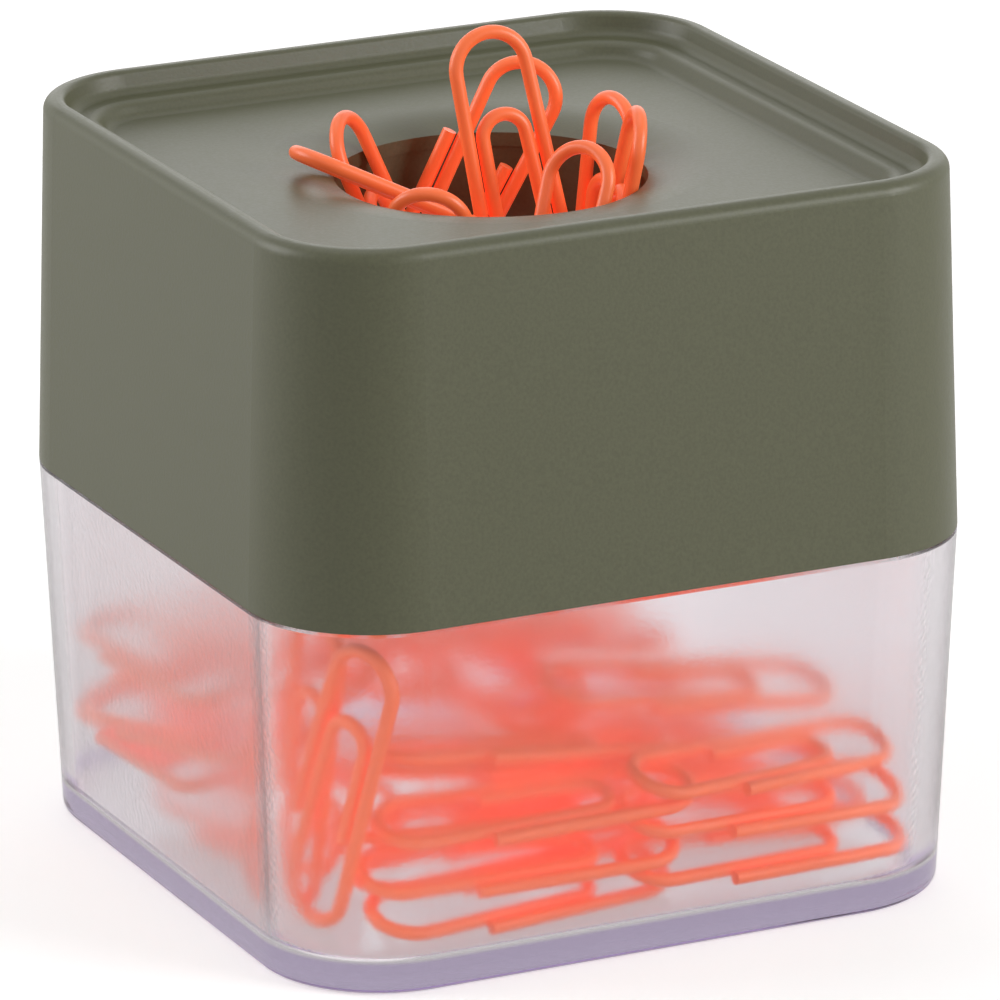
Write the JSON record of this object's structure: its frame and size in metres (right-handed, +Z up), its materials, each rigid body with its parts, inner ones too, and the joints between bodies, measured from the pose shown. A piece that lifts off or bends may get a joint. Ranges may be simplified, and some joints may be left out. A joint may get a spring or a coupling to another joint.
{
  "type": "magnetic paper clip holder",
  "caption": "Square paper clip holder: a frosted clear box under a lift-off lid with a dished tray and a round magnetic mouth that holds coated wire clips upright.",
  "frame": {"origin": "centre of the box's underside, on the plane that it stands on", "axes": "+Z up through the mouth's axis; the side face seen on the right in the picture faces -Y and the one on the left faces -X"},
  "size_m": [0.064, 0.064, 0.0721],
  "materials": {
    "frosted_clear_plastic": "frosted translucent, fine grain",
    "olive_plastic": "satin, fine spark texture",
    "ferrite": "matt, sintered",
    "retainer_plastic": "satin",
    "orange_coated_wire": "smooth vinyl coat, semi-gloss"
  },
  "bodies": {
    "box": {"box": "frosted_clear_plastic", "loose_clip_01": "orange_coated_wire", "loose_clip_02": "orange_coated_wire", "loose_clip_03": "orange_coated_wire", "loose_clip_04": "orange_coated_wire", "loose_clip_05": "orange_coated_wire", "loose_clip_06": "orange_coated_wire", "loose_clip_07": "orange_coated_wire", "loose_clip_08": "orange_coated_wire", "loose_clip_09": "orange_coated_wire", "loose_clip_10": "orange_coated_wire", "loose_clip_11": "orange_coated_wire", "loose_clip_12": "orange_coated_wire", "loose_clip_13": "orange_coated_wire", "loose_clip_14": "orange_coated_wire", "loose_clip_15": "orange_coated_wire", "loose_clip_16": "orange_coated_wire", "loose_clip_17": "orange_coated_wire", "loose_clip_18": "orange_coated_wire", "loose_clip_19": "orange_coated_wire", "loose_clip_20": "orange_coated_wire", "loose_clip_21": "orange_coated_wire", "loose_clip_22": "orange_coated_wire", "loose_clip_23": "orange_coated_wire", "loose_clip_24": "orange_coated_wire", "loose_clip_25": "orange_coated_wire", "loose_clip_26": "orange_coated_wire", "loose_clip_27": "orange_coated_wire", "loose_clip_28": "orange_coated_wire", "loose_clip_29": "orange_coated_wire", "loose_clip_30": "orange_coated_wire", "loose_clip_31": "orange_coated_wire", "loose_clip_32": "orange_coated_wire", "loose_clip_33": "orange_coated_wire", "loose_clip_34": "orange_coated_wire"},
    "lid": {"lid": "olive_plastic", "ring_magnet": "ferrite", "magnet_retainer": "retainer_plastic", "mouth_clip_left_low": "orange_coated_wire", "mouth_clip_front_left": "orange_coated_wire"},
    "mouth_clip_right": {"mouth_clip_right": "orange_coated_wire"},
    "mouth_clip_right_edge": {"mouth_clip_right_edge": "orange_coated_wire"},
    "mouth_clip_back": {"mouth_clip_back": "orange_coated_wire"},
    "mouth_clip_left": {"mouth_clip_left": "orange_coated_wire"},
    "mouth_clip_tall": {"mouth_clip_tall": "orange_coated_wire"},
    "mouth_clip_front_right": {"mouth_clip_front_right": "orange_coated_wire"}
  },
  "joints": [
    {"name": "lid_lift", "type": "slide", "parent": "box", "child": "lid", "axis": [0, 0, 1], "range_m": [0, 0.05]},
    {"name": "pull_right", "type": "slide", "parent": "lid", "child": "mouth_clip_right", "axis": [0.0726, -0.0652, 0.9952], "range_m": [0, 0.024]},
    {"name": "pull_right_edge", "type": "slide", "parent": "lid", "child": "mouth_clip_right_edge", "axis": [0.0794, -0.1909, 0.9784], "range_m": [0, 0.03]},
    {"name": "pull_back", "type": "slide", "parent": "lid", "child": "mouth_clip_back", "axis": [0.4925, -0.1383, 0.8593], "range_m": [0, 0.036]},
    {"name": "pull_left", "type": "slide", "parent": "lid", "child": "mouth_clip_left", "axis": [-0.332, 0.1049, 0.9374], "range_m": [0, 0.036]},
    {"name": "pull_tall", "type": "slide", "parent": "lid", "child": "mouth_clip_tall", "axis": [-0.2322, 0.1631, 0.9589], "range_m": [0, 0.024]},
    {"name": "pull_front_right", "type": "slide", "parent": "lid", "child": "mouth_clip_front_right", "axis": [0.2371, 0.1668, 0.9571], "range_m": [0, 0.03]}
  ]
}
